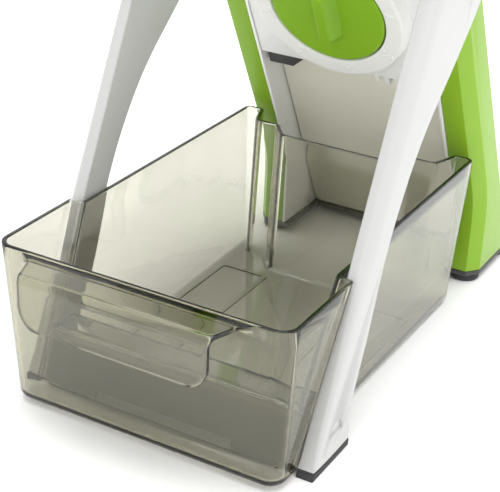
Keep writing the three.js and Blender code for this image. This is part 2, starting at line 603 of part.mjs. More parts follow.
function buildLegs() {
  const far = 500;
  const shape = shapeOf(legOutline);
  const leg = across((s) => s.curves.push(...shape.curves), LEG_IN, LEG_OUT, { across: LEG_EDGE, deep: LEG_EDGE }, 3);
  const pinHole = axle(PIVOT_PIN.radius + GAP, 0, far, PIVOT_Y, PIVOT_Z);
  const capSeat = axle(PIVOT_CAP.radius + GAP, LEG_OUT - PIVOT_CAP.thick - GAP, far, PIVOT_Y, PIVOT_Z, 40);
  const notch = axle(THUMB_NOTCH.radius, LEG_OUT - THUMB_NOTCH.deep, far, LEG_TOE + THUMB_NOTCH.back, THUMB_NOTCH.up, 32);
  const notchFlat = box([0, 0, THUMB_NOTCH.up - 1], [far, far, far]);
  const tenonHole = across(barOutline(1.5 - GAP), 0, LEG_IN + BAR.tenon + GAP);
  const cut = [pinHole, capSeat, notch.intersect(notchFlat), tenonHole];
  pair("leg", cut.reduce((body, tool) => body.subtract(tool), leg), "white");

  const padBack = legFront(PAD_HEIGHT) + LEG_WIDTHS[0][1];
  const pad = across([[LEG_TOE, 0], [padBack, 0], [padBack + 0.4, PAD_HEIGHT - GAP], [legFront(PAD_HEIGHT) - 0.4, PAD_HEIGHT - GAP]], LEG_IN, LEG_OUT);
  pair("foot_pad", pad, "rubber");

  const bar = across(barOutline(0), -LEG_IN + GAP, LEG_IN - GAP).subtract(
    box([-BAR.reliefHalf, 0, 0], [BAR.reliefHalf, far, BAR.low + BAR.relief]),
  );
  const tenon = across(barOutline(1.5), -LEG_IN - BAR.tenon, LEG_IN + BAR.tenon);
  const reliefCut = box([-BAR.reliefHalf, 0, 0], [BAR.reliefHalf, far, BAR.low + BAR.relief]);
  piece("crossbar", bar.add(tenon.subtract(reliefCut)), "white");

  const inside = HOUSING_HALF - HOUSING_WALL;
  const pin = axle(PIVOT_PIN.radius, inside - 1, LEG_OUT - PIVOT_CAP.thick - 2 * GAP, PIVOT_Y, PIVOT_Z).add(
    axle(PIVOT_PIN.head, inside - GAP - PIVOT_PIN.headThick, inside - GAP, PIVOT_Y, PIVOT_Z),
  );
  pair("pivot_pin", pin, "steel");
  pair("pivot_cap", axle(PIVOT_CAP.radius, LEG_OUT - PIVOT_CAP.thick, LEG_OUT, PIVOT_Y, PIVOT_Z, 40), "white");
}

/** The crossbar's section in (Y, Z), in line with the legs' front edge, moved in by a margin. */
function barOutline(margin) {
  const low = BAR.low + margin;
  const high = BAR.high - margin;
  const back = BAR.thick - margin;
  return [
    [legFront(low) + margin, low],
    [legFront(low) + back, low],
    [legFront(high) + back, high],
    [legFront(high) + margin, high],
  ];
}

// ---- drawer ----

/** The drawer's plan at a height: wide ahead of the legs, narrower between them, stepped round the dial behind. */
function drawerPlan(z, wall) {
  const lean = DRAFT * (RIM - z);
  const wide = DRAWER_FRONT - lean;
  const narrow = DRAWER_REAR - lean;
  const front = lean;
  const shoulder = legFront(z) - NOTCH_ROOM;
  const rear = DRAWER_LENGTH - lean;
  const right = [
    ...arc(wide - DRAWER_CORNER, front + DRAWER_CORNER, DRAWER_CORNER, 3, 4),
    [wide, shoulder],
    [narrow, shoulder],
    ...arc(narrow - 3, rear - 3, 3, 0, 1, 3),
    [PLATE_BAY.half + BAY_SLANT - 1, rear],
    [PLATE_BAY.half, rear - PLATE_BAY.depth],
    [DIAL_BAY.half + BAY_SLANT + 2, rear - PLATE_BAY.depth],
    [DIAL_BAY.half, rear - DIAL_BAY.depth],
  ];
  const left = right.map(([x, y]) => [-x, y]).reverse();
  return inset([...right, ...left], wall);
}

function buildDrawer() {
  const floor = DRAWER_LIFT + DRAWER_WALL;
  const outer = loft(drawerPlan(DRAWER_LIFT, 0), drawerPlan(RIM, 0), DRAWER_LIFT, RIM);
  const inner = loft(drawerPlan(floor, DRAWER_WALL), drawerPlan(RIM + 1, DRAWER_WALL), floor, RIM + 1);
  const room = 2.2;
  const roof = BAR.high + 3;
  const tunnel = [
    [legFront(0) - room, 0],
    [legFront(0) + BAR.thick + 33, 0],
    [legFront(roof) + BAR.thick + 4, roof],
    [legFront(roof) - room, roof],
  ];
  const hump = across(inset(tunnel, -DRAWER_WALL), -DRAWER_FRONT, DRAWER_FRONT).intersect(outer);
  const tub = outer.subtract(inner).add(hump).subtract(across(tunnel, -LEG_OUT, LEG_OUT));

  const { half, tipHalf, reach, drop, thick, corner } = PULL;
  const ledge = loft(
    [[-half, DRAWER_WALL - 0.4], [-tipHalf, -reach], [tipHalf, -reach], [half, DRAWER_WALL - 0.4]],
    [[-half, DRAWER_WALL - 0.4], [-tipHalf, -reach], [tipHalf, -reach], [half, DRAWER_WALL - 0.4]],
    RIM - thick,
    RIM,
  );
  const low = RIM - drop;
  const lipOutline = [
    ...arc(tipHalf - corner, low + corner, corner, 3, 4),
    [tipHalf, RIM],
    [-tipHalf, RIM],
    ...arc(corner - tipHalf, low + corner, corner, 2, 3),
  ];
  piece("drawer", tub.add(ledge).add(deep(lipOutline, -reach, thick - reach)), "smoked");
}

buildHousing();
buildLiners();
buildBoard();
buildDial();
buildCarriage();
buildLegs();
buildDrawer();

// The origin is on the table, under the middle of the whole slicer.
slicer.updateMatrixWorld(true);
const middle = new THREE.Box3().setFromObject(slicer, true).getCenter(new THREE.Vector3());
slicer.position.set(0, -middle.y, 0);
const root = new THREE.Group();
root.add(slicer);

export default root;
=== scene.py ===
"""Looks of the folding mandoline slicer: a lime-green housing, white legs and front plate, a numbered
dial and a smoked clear catch drawer. Lengths in the helpers are millimetres; meshes are in metres.

X is the width, +Y goes back from the finger pull, +Z is up. Pieces that lie along the housing are worked
out in its own frame: v is the depth behind its front plane and w is the distance up that plane.
"""

import json
from math import atan, atan2, cos, pi, radians, sin, tan

import bmesh
import bpy
import numpy as np
from mathutils import Matrix, Vector


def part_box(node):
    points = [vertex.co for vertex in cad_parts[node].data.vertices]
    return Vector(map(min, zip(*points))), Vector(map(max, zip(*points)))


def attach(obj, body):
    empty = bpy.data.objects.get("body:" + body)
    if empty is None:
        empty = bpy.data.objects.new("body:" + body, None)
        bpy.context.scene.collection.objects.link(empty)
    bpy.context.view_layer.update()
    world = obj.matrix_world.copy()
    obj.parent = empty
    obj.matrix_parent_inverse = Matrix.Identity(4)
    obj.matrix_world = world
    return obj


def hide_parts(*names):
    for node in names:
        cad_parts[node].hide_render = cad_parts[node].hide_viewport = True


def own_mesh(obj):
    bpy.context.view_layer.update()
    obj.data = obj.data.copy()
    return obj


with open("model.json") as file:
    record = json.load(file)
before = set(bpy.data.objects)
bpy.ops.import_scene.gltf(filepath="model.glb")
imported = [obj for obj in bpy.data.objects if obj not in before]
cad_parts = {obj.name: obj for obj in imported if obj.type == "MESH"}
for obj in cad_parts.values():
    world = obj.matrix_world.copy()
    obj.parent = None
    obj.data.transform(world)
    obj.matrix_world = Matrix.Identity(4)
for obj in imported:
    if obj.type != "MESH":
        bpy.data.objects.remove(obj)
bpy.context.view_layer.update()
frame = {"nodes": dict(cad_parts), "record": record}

MM = 0.001

# ---- sizes shared with the frame, in millimetres ----
RIM = 77.4  # height of the drawer's rim
DRAWER_LENGTH = 198.5
DRAWER_LIFT = 2.0  # the drawer's underside is this far above the table
WALL = 2.2  # of the drawer
DRAFT = 0.055  # the drawer's walls lean out by this share of their height
LEAN = atan(0.53)  # of the housing, forward from upright
HALF_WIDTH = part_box("leg_right")[1].x / MM  # outer face of a leg
LEG_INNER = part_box("leg_right")[0].x / MM
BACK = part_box("drawer")[1].y / MM - DRAWER_LENGTH  # how far back the drawer's front edge is
HOUSING_GAP = 2.0  # between the drawer's rim and the housing
FOOT_LINE = DRAWER_LENGTH + HOUSING_GAP + tan(LEAN) * RIM  # the housing's front plane meets the table here
PIVOT_V = 13.5  # the legs' pivot in the housing's frame
PIVOT_W = 234.3
PIVOT = (
    FOOT_LINE + PIVOT_V * cos(LEAN) - PIVOT_W * sin(LEAN),
    PIVOT_V * sin(LEAN) + PIVOT_W * cos(LEAN),
)
HUB = 22.0  # radius of the legs' round top
LEG_TOE = 20.5  # the legs' front edge would meet the table this far behind the drawer's front edge
PAD = 3.6  # height of the legs' foot pads
DIAL = 172.0  # height of the dial's centre, w


# ---- placing ----


def upright(x, y, z):
    """Millimetres measured from the drawer's front edge, as they are in the row frame."""
    return np.stack(np.broadcast_arrays(x, y + BACK, z), axis=-1)


def upright_face(y, z, x):
    """A point of an outline drawn in (Y, Z) and carried along X."""
    return upright(x, y, z)


def along_housing(x, v, w):
    """A point of the housing's frame (X, v, w): turned back by the lean about the foot line."""
    return upright(x, FOOT_LINE + v * cos(LEAN) - w * sin(LEAN), v * sin(LEAN) + w * cos(LEAN))


# ---- making meshes ----


def face_out(mesh):
    """Turns a closed mesh's faces outwards if its volume comes out negative."""
    bm = bmesh.new()
    bm.from_mesh(mesh)
    if bm.calc_volume(signed=True) < 0:
        bmesh.ops.reverse_faces(bm, faces=bm.faces)
        bm.to_mesh(mesh)
    bm.free()


def mesh_object(name, points, faces, sharp=35.0):
    """An object from an (N, 3) array in millimetres and a list of faces, smooth up to the sharp angle."""
    mesh = bpy.data.meshes.new(name)
    mesh.from_pydata(np.asarray(points, float).reshape(-1, 3) * MM, [], faces)
    face_out(mesh)
    mesh.shade_smooth()
    mesh.set_sharp_from_angle(angle=radians(sharp))
    obj = bpy.data.objects.new(name, mesh)
    bpy.context.scene.collection.objects.link(obj)
    return obj


def grid_faces(rows, cols, around=False, first=0):
    """Quads between neighbouring rows of a grid of points, closing each row on itself if it goes around."""
    r = np.arange(rows - 1)[:, None]
    c = np.arange(cols if around else cols - 1)[None, :]
    nxt = (c + 1) % cols
    quads = np.stack([r * cols + c, r * cols + nxt, (r + 1) * cols + nxt, (r + 1) * cols + c], axis=-1)
    return (quads.reshape(-1, 4) + first).tolist()


def stack(name, rings, sharp=35.0, closed=False):
    """Rings of equal length joined in order, anticlockwise rings going outwards along the stack, with a
    flat end at each side unless the stack closes on itself."""
    rings = np.asarray(rings)
    count, around = rings.shape[:2]
    faces = grid_faces(count, around, around=True)
    if closed:
        last = (count - 1) * around
        i = np.arange(around)
        j = (i + 1) % around
        faces += np.stack([last + i, last + j, j, i], axis=-1).tolist()
    else:
        faces += [list(range(around - 1, -1, -1)), list(range((count - 1) * around, count * around))]
    return mesh_object(name, rings, faces, sharp)


def inward(outline):
    """Mitre directions into an anticlockwise outline: the sum of the two edge normals, over one more than
    the cosine between them, so that a step of one along it moves both edges in by one."""
    before = outline - np.roll(outline, 1, axis=0)
    after = np.roll(outline, -1, axis=0) - outline
    before = before / np.linalg.norm(before, axis=1, keepdims=True)
    after = after / np.linalg.norm(after, axis=1, keepdims=True)
    agree = np.clip(1 + np.sum(before * after, axis=1, keepdims=True), 0.35, 2)
    total = before + after
    return np.stack([-total[:, 1], total[:, 0]], axis=1) / agree


def plate(name, outline, low, high, place, low_edge, high_edge, deep=None, steps=4, sharp=35.0):
    """A flat piece with rounded edges. The outline runs anticlockwise; at each end a quarter ellipse takes
    it in by the edge radius while the depth goes from the radius, or from the deepest allowed, to nothing.
    Radii may differ from point to point."""
    outline = np.asarray(outline, float)
    way_in = inward(outline)
    t = np.linspace(0, pi / 2, steps + 1)
    rings = []
    for edge, at, sign in ((low_edge, low, 1), (high_edge, high, -1)):
        edge = np.broadcast_to(np.asarray(edge, float), len(outline))[:, None]
        depth = edge if deep is None else np.minimum(edge, deep)
        for a in t if sign > 0 else t[::-1]:
            p = outline + way_in * edge * (1 - sin(a))
            rings.append(place(p[:, 0], p[:, 1], (at + sign * depth * (1 - cos(a)))[:, 0]))
    return stack(name, rings, sharp)


def turned(name, profile, place, count=96, sharp=35.0):
    """A profile of (radius, height) pairs turned about its axis: x = r cos u, y = r sin u. It starts and
    ends on the axis, or closes on itself."""
    profile = np.asarray(profile, float)
    u = np.arange(count) * 2 * pi / count
    on_axis = profile[0, 0] < 1e-6
    body = profile[1:-1] if on_axis else profile
    rings = [place(r * np.cos(u), r * np.sin(u), np.full(count, h)) for r, h in body]
    if not on_axis:
        return stack(name, rings, sharp, closed=True)
    return stack(name, rings, sharp)


def rounded(corners, radii, take_in=0.0, steps=6):
    """A polygon with rounded corners, taken in by a distance, which may differ from corner to corner: each
    corner is an arc of its radius less the distance where the outline turns left, and more where it turns
    right, so every outline has the same number of points."""
    corners = np.asarray(corners, float)
    radii = np.asarray(radii, float)
    take_in = np.broadcast_to(np.asarray(take_in, float), len(corners))
    before = corners - np.roll(corners, 1, axis=0)
    after = np.roll(corners, -1, axis=0) - corners
    before /= np.linalg.norm(before, axis=1, keepdims=True)
    after /= np.linalg.norm(after, axis=1, keepdims=True)
    left = before[:, 0] * after[:, 1] - before[:, 1] * after[:, 0] > 0
    turn = np.arccos(np.clip(np.sum(before * after, axis=1), -1, 1))
    size = np.maximum(np.where(left, radii - take_in, radii + take_in), 0.15)
    moved = corners + inward(corners) * take_in[:, None]
    reach = size * np.tan(turn / 2)
    side = np.where(left, 1.0, -1.0)[:, None]
    normal = np.stack([-before[:, 1], before[:, 0]], axis=1) * side
    centre = moved - before * reach[:, None] + normal * size[:, None]
    share = np.linspace(0, 1, steps + 1)[None, :]
    angle = share * turn[:, None]
    swing = np.sin(angle)[..., None] * before[:, None] - np.cos(angle)[..., None] * normal[:, None]
    return (centre[:, None] + swing * size[:, None, None]).reshape(-1, 2)


def combine(obj, other, how):
    """Joins, cuts or intersects two closed meshes, and keeps the first object."""
    modifier = obj.modifiers.new("shape", "BOOLEAN")
    modifier.operation = how
    modifier.solver = "EXACT"
    modifier.object = other
    bpy.context.view_layer.update()
    made = bpy.data.meshes.new_from_object(obj.evaluated_get(bpy.context.evaluated_depsgraph_get()))
    obj.modifiers.clear()
    obj.data = made
    bpy.data.objects.remove(other)
    return obj


def soften(node, width=0.5, segments=3, angle=28.0):
    """A finished copy of a CAD node: doubles merged, flat faces joined, sharp edges given a small round."""
    bm = bmesh.new()
    bm.from_mesh(frame["nodes"][node].data)
    bmesh.ops.remove_doubles(bm, verts=bm.verts, dist=2e-6)
    bmesh.ops.dissolve_limit(bm, angle_limit=radians(0.6), verts=bm.verts, edges=bm.edges)
    mesh = bpy.data.meshes.new(node + "_finished")
    bm.to_mesh(mesh)
    bm.free()
    mesh.shade_smooth()
    obj = bpy.data.objects.new(node + "_finished", mesh)
    bpy.context.scene.collection.objects.link(obj)
    bevel = obj.modifiers.new("edge", "BEVEL")
    bevel.width = width * MM
    bevel.segments = segments
    bevel.limit_method = "ANGLE"
    bevel.angle_limit = radians(angle)
    bevel.use_clamp_overlap = True
    bevel.harden_normals = True
    return obj


def dress(obj, body, slot, material, *nodes):
    """Gives a piece its material and body, and lets it stand for CAD nodes. The slot is not used."""
    obj.data.materials.clear()
    obj.data.materials.append(material)
    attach(obj, body)
    if nodes:
        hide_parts(*nodes)
    return obj


# ---- materials ----


class Nodes:
    """A material's node tree with short calls for the nodes used here."""

    def __init__(self, name):
        self.material = bpy.data.materials.new(name)
        self.material.use_nodes = True
        self.tree = self.material.node_tree
        self.shader = self.tree.nodes["Principled BSDF"]
        self.output = self.tree.nodes["Material Output"]
        self.place = self.tree.nodes.new("ShaderNodeTexCoord").outputs["Object"]

    def set(self, **values):
        for key, value in values.items():
            self.shader.inputs[key.replace("_", " ")].default_value = value

    def noise(self, scale, detail=3.0, roughness=0.5, stretch=None):
        place = self.place
        if stretch:
            mapping = self.tree.nodes.new("ShaderNodeMapping")
            mapping.inputs["Scale"].default_value = stretch
            self.tree.links.new(place, mapping.inputs["Vector"])
            place = mapping.outputs["Vector"]
        node = self.tree.nodes.new("ShaderNodeTexNoise")
        node.inputs["Scale"].default_value = scale
        node.inputs["Detail"].default_value = detail
        node.inputs["Roughness"].default_value = roughness
        self.tree.links.new(place, node.inputs["Vector"])
        return node.outputs["Fac"]

    def ramp(self, factor, *stops):
        node = self.tree.nodes.new("ShaderNodeValToRGB")
        elements = node.color_ramp.elements
        while len(elements) < len(stops):
            elements.new(0.5)
        for element, (at, colour) in zip(elements, stops):
            element.position = at
            element.color = (*colour, 1.0) if len(colour) == 3 else colour
        self.tree.links.new(factor, node.inputs["Fac"])
        return node.outputs["Color"]

    def between(self, factor, low, high):
        node = self.tree.nodes.new("ShaderNodeMapRange")
        node.inputs["To Min"].default_value = low
        node.inputs["To Max"].default_value = high
        self.tree.links.new(factor, node.inputs["Value"])
        return node.outputs["Result"]

    def coordinates(self):
        """The Object coordinates across and back, in metres."""
        node = self.tree.nodes.new("ShaderNodeSeparateXYZ")
        self.tree.links.new(self.place, node.inputs["Vector"])
        return node.outputs["X"], node.outputs["Y"]

    def fade(self, value, at_none, at_full):
        """Nothing at one value, all of it at the other."""
        node = self.tree.nodes.new("ShaderNodeMapRange")
        node.interpolation_type = "SMOOTHSTEP"
        node.inputs["From Min"].default_value = min(at_none, at_full)
        node.inputs["From Max"].default_value = max(at_none, at_full)
        node.inputs["To Min"].default_value = float(at_none > at_full)
        node.inputs["To Max"].default_value = float(at_none < at_full)
        self.tree.links.new(value, node.inputs["Value"])
        return node.outputs["Result"]

    def times(self, one, other):
        node = self.tree.nodes.new("ShaderNodeMath")
        node.operation = "MULTIPLY"
        self.tree.links.new(one, node.inputs[0])
        self.tree.links.new(other, node.inputs[1])
        return node.outputs["Value"]

    def link(self, source, socket):
        self.tree.links.new(source, self.shader.inputs[socket])

    def bump(self, height, strength, distance):
        node = self.tree.nodes.new("ShaderNodeBump")
        node.inputs["Strength"].default_value = strength
        node.inputs["Distance"].default_value = distance
        self.tree.links.new(height, node.inputs["Height"])
        self.tree.links.new(node.outputs["Normal"], self.shader.inputs["Normal"])


def moulded(name, colour, shade, roughness, spread=0.06, grain=1600.0, depth=0.00002, **values):
    """Moulded plastic: a slow drift between two tones, a fine grain in the bump, slightly uneven gloss."""
    n = Nodes(name)
    n.link(n.ramp(n.noise(14.0, 2.0), (0.3, shade), (0.7, colour)), "Base Color")
    n.link(n.between(n.noise(60.0, 4.0), roughness - spread, roughness + spread), "Roughness")
    n.bump(n.noise(grain, 2.0), 0.35, depth)
    n.set(**values)
    return n.material


def smoked_plastic():
    """Clear plastic tinted olive-grey through its thickness, with the faint waviness of a moulding and a
    clear coat that brightens the inside and fades out at the front and right walls."""
    n = Nodes("smoked clear plastic")
    n.set(
        Base_Color=(1, 1, 1, 1),
        Transmission_Weight=1.0,
        IOR=1.49,
        Roughness=0.02,
        Specular_IOR_Level=0.5,
        Coat_IOR=1.5,
        Coat_Roughness=0.03,
    )
    across, back = n.coordinates()
    behind_front = n.fade(back, -0.126, -0.112)
    clear_of_right_wall = n.fade(across, 0.062, 0.05)
    n.link(n.times(behind_front, clear_of_right_wall), "Coat Weight")
    n.bump(n.noise(22.0, 1.0, 0.3), 0.12, 0.0004)
    volume = n.tree.nodes.new("ShaderNodeVolumeAbsorption")
    volume.inputs["Color"].default_value = (0.56, 0.54, 0.38, 1)
    volume.inputs["Density"].default_value = 300.0
    n.tree.links.new(volume.outputs["Volume"], n.output.inputs["Volume"])
    return n.material


def ground_steel(name="ground steel", stretch=(1.0, 40.0, 40.0)):
    """Ground stainless: long fine scratches along the piece in the gloss and the bump."""
    n = Nodes(name)
    scratches = n.noise(60.0, 8.0, 0.7, stretch)
    n.link(n.ramp(scratches, (0.2, (0.50, 0.51, 0.52)), (0.8, (0.72, 0.73, 0.74))), "Base Color")
    n.link(n.between(scratches, 0.18, 0.34), "Roughness")
    n.bump(scratches, 0.15, 0.00002)
    n.set(Metallic=1.0)
    return n.material


SATIN = {"Coat_Weight": 0.15, "Coat_Roughness": 0.15}
GREEN = moulded(
    "lime plastic", (0.235, 0.43, 0.02), (0.22, 0.405, 0.016), 0.34, 0.05, Specular_IOR_Level=0.35
)
KNOB_GREEN = moulded(
    "dial lime plastic", (0.235, 0.46, 0.018), (0.22, 0.435, 0.014), 0.36, 0.04, Specular_IOR_Level=0.3
)
GRIP = moulded(
    "soft lime grip", (0.20, 0.41, 0.02), (0.18, 0.375, 0.016), 0.62, 0.06, grain=900.0, depth=0.00006
)
WHITE = moulded("white plastic", (0.86, 0.86, 0.85), (0.83, 0.83, 0.82), 0.34, 0.05, **SATIN)
# The same white plastic as WHITE, made darker: painted shade. Its tone is lowered to stand in for less
# light on the legs, pivot caps, carriage frame, feed chute and pusher body.
WHITE_IN_PAINTED_SHADE = moulded("white plastic darkened as painted shade", (0.52, 0.52, 0.513), (0.5, 0.5, 0.493), 0.34, 0.05, **SATIN)
MATT_WHITE = moulded(
    "matt white plastic", (0.87, 0.87, 0.85), (0.84, 0.84, 0.82), 0.5, 0.06, grain=2600.0
)
# The crossbar is white plastic; this dark olive is painted shade, standing in for the crossbar in the shade
# under the drawer's tunnel.
BAR_PAINTED_SHADE = moulded("crossbar white plastic in painted shade", (0.27, 0.262, 0.19), (0.25, 0.243, 0.175), 0.5, 0.05)
BEIGE = moulded(
    "grey-beige plastic", (0.9, 0.885, 0.765), (0.87, 0.855, 0.735), 0.55, 0.06, grain=2600.0
)
DARK = moulded(
    "dark grey plastic", (0.062, 0.062, 0.062), (0.05, 0.05, 0.05), 0.5, 0.08, grain=2200.0
)
RUBBER = moulded(
    "dark rubber", (0.045, 0.045, 0.047), (0.035, 0.035, 0.037), 0.78, 0.08, grain=1400.0, depth=0.00005
)
STEEL = ground_steel()
SMOKED = smoked_plastic()


# ---- legs ----

RISE = np.hypot(PIVOT[0] - LEG_TOE, PIVOT[1])
LEG_ANGLE = atan2(PIVOT[0] - LEG_TOE, PIVOT[1]) - np.arcsin(HUB / RISE)
RAKE = tan(LEG_ANGLE)
# (share of the pivot's height, width of the leg there behind its front edge)
LEG_WIDTHS = ((0, 31), (0.1, 23.5), (0.22, 22), (0.37, 19), (0.49, 21.5), (0.59, 29), (0.7, 45), (0.8, 56))
LEG_EDGE = 0.9  # round of a leg's edges
FOOT_EDGE = 0.25  # and of those that meet the foot pad
THUMB_NOTCH = {"back": 19, "up": 13.5, "radius": 6, "deep": 1}
CAP_SEAT = {"radius": 14.3, "deep": 2.1}


def leg_front(z):
    """Front edge of the legs at a height."""
    return LEG_TOE + RAKE * z


def spline(knots, steps):
    """A uniform Catmull-Rom curve through the knots, with its ends doubled."""
    knots = np.asarray(knots, float)
    padded = np.vstack([knots[:1], knots, knots[-1:]])
    t = np.linspace(0, 1, steps, endpoint=False)[:, None]
    spans = []
    for i in range(len(knots) - 1):
        a, b, c, d = padded[i : i + 4]
        slope, next_slope = (c - a) / 2, (d - b) / 2
        cubic = 2 * b - 2 * c + slope + next_slope
        square = 3 * c - 3 * b - 2 * slope - next_slope
        spans.append(cubic * t**3 + square * t**2 + slope * t + b)
    return np.vstack([*spans, knots[-1:]])


def leg_outline():
    """A leg in (Y, Z), anticlockwise: flared foot, arched rear edge, round hub and straight front edge."""
    rear = [(leg_front(max(PAD, s * PIVOT[1])) + wide, max(PAD, s * PIVOT[1])) for s, wide in LEG_WIDTHS]
    rear += [(PIVOT[0] + HUB, PIVOT[1] * 0.92), (PIVOT[0] + HUB, PIVOT[1])]
    hub = np.linspace(0, pi - LEG_ANGLE, 40)[1:]
    arc = np.stack([PIVOT[0] + HUB * np.cos(hub), PIVOT[1] + HUB * np.sin(hub)], axis=1)
    z = np.linspace(arc[-1, 1], PAD, 60)[1:]
    front = np.stack([leg_front(z), z], axis=1)
    foot = np.stack([np.linspace(front[-1, 0], rear[0][0], 8)[1:-1], np.full(6, PAD)], axis=1)
    return np.vstack([spline(rear, 8), arc, front, foot])


def leg(side):
    """A leg between its inner and outer faces, with a half-moon thumb notch low on the outer face and a
    round seat for the pivot cap. The round between the front and outer faces grows from the foot up."""
    outline = leg_outline()
    y, z = outline.T
    on_front = np.abs(y - leg_front(z)) < 0.05
    at_foot = z < PAD + 0.1
    grow = np.clip((z - 20) / (PIVOT[1] - 40), 0, 1)
    fade = np.clip((PIVOT[1] + 6 - z) / 30, 0, 1)
    outer = np.where(on_front, LEG_EDGE + (1.6 + 7.0 * grow) * fade, LEG_EDGE)
    outer = np.where(at_foot, FOOT_EDGE, outer)
    blur = np.array([0.25, 0.5, 0.25])
    for _ in range(6):
        outer = np.convolve(np.pad(outer, 1, mode="wrap"), blur, mode="valid")
    inner = np.where(at_foot, FOOT_EDGE, LEG_EDGE)
    if side > 0:
        name, low, high, edges = "leg_right_finished", LEG_INNER, HALF_WIDTH, (inner, outer)
    else:
        name, low, high, edges = "leg_left_finished", -HALF_WIDTH, -LEG_INNER, (outer, inner)
    obj = plate(name, outline, low, high, upright_face, *edges, deep=4.5, steps=8)

    face = HALF_WIDTH * side
    proud = 2  # the cutting shapes stand this far out of the face
    circle = np.linspace(0, pi, 25)
    notch_y = LEG_TOE + THUMB_NOTCH["back"] + THUMB_NOTCH["radius"] * np.cos(circle)
    notch_z = THUMB_NOTCH["up"] + THUMB_NOTCH["radius"] * np.sin(circle)
    half_moon = np.stack([notch_y, notch_z], axis=1)
    low, high = sorted((face - THUMB_NOTCH["deep"] * side, face + proud * side))
    combine(obj, plate("notch", half_moon, low, high, upright_face, 0.05, 0.05), "DIFFERENCE")

    radius, deep = CAP_SEAT["radius"], CAP_SEAT["deep"]
    cap_seat = turned(
        "seat",
        [(0, proud), (radius, proud), (radius, -deep), (0, -deep)],
        lambda p, q, h: upright((HALF_WIDTH + h) * side, PIVOT[0] + side * p, PIVOT[1] + q),
        64,
    )
    return combine(obj, cap_seat, "DIFFERENCE")


for side, name in ((1, "right"), (-1, "left")):
    dress(leg(side), "legs", "white_plastic", WHITE_IN_PAINTED_SHADE, "leg_" + name)


# ---- drawer ----

PLATE_BAY = 14.5  # how far the rear wall steps in for the front plate
DIAL_BAY = 25.0  # and for the dial


def drawer_corners(z):
    """The drawer's plan at a height, anticlockwise, with a radius for each corner: wide ahead of the legs,
    narrower between them, and stepped in at the back for the front plate and the dial."""
    lean = DRAFT * (RIM - z)
    wide = HALF_WIDTH - 3.2 - lean
    narrow = LEG_INNER - 1.7 - lean
    shoulder = leg_front(z) - 3
    rear = DRAWER_LENGTH - lean
    right = [
        (wide, lean, 8.0),
        (wide, shoulder, 1.6),
        (narrow, shoulder, 1.4),
        (narrow, rear, 3.2),
        (53, rear, 2.4),
        (48, rear - PLATE_BAY, 2.6),
        (36, rear - PLATE_BAY, 2.4),
        (28, rear - DIAL_BAY, 3.0),
    ]
    both = right + [(-x, y, r) for x, y, r in reversed(right)]
    corners = np.array(both)
    return corners[:, :2], corners[:, 2]


# the share of the bottom's rounding that each corner has room for: little at the narrow rear lobes
ROOM = (1, 1, 1, 0.12, 0.12, 0.12, 1, 1)


def drawer_loop(wall, z, rounding=0.0):
    """The plan at a height, taken in by a wall and by a rounding shared out by the room at each corner."""
    corners, radii = drawer_corners(z)
    p = rounded(corners, radii, wall + rounding * np.array(ROOM + ROOM[::-1]))
    return upright(p[:, 0], p[:, 1], np.full(len(p), z))


def drawer_tub():
    """One closed skin: underside, a rounded bottom edge, the outer wall, a rounded rim, the inner wall, an
    inner fillet and the floor. Each ring is the plan at its height, taken in by its share of the wall."""
    floor = DRAWER_LIFT + WALL
    under, fillet, lip = 3.4, 2.6, 0.75
    quarter = np.linspace(0, pi / 2, 7)
    rings = []
    for a in quarter:
        rings.append(drawer_loop(0, DRAWER_LIFT + under * (1 - cos(a)), under * (1 - sin(a))))
    for z in np.linspace(DRAWER_LIFT + under, RIM - lip, 10)[1:-1]:
        rings.append(drawer_loop(0, z))
    for a in quarter:
        rings.append(drawer_loop(lip * (1 - cos(a)), RIM - lip * (1 - sin(a))))
    for a in quarter:
        rings.append(drawer_loop(WALL - lip * (1 - sin(a)), RIM - lip * (1 - cos(a))))
    for z in np.linspace(RIM - lip, floor + fillet, 10)[1:-1]:
        rings.append(drawer_loop(WALL, z))
    for a in quarter:
        rings.append(drawer_loop(WALL, floor + fillet * (1 - sin(a)), fillet * (1 - cos(a))))
    return stack("drawer_finished", rings, 30)


TUNNEL = {"roof": 25.3, "roof_back": 11, "foot_back": 40, "ahead": 2.2}


def tunnel(grow, half, low):
    """A prism across the width over the crossbar, grown by a wall, with rounded roof edges. Its front is in
    line with the legs and its back slopes down to the rear."""
    roof, roof_back, foot_back, ahead = TUNNEL.values()
    slope = (foot_back - roof_back - RAKE * roof) / roof
    corners = [
        (leg_front(low) - ahead, low),
        (leg_front(0) + foot_back - slope * low, low),
        (leg_front(roof) + roof_back, roof),
        (leg_front(roof) - ahead, roof),
    ]
    outline = rounded(corners, [0.2, 0.2, 1.2, 1.2], -grow)
    return plate("tunnel", outline, -half, half, upright_face, 0.02, 0.02, steps=1)


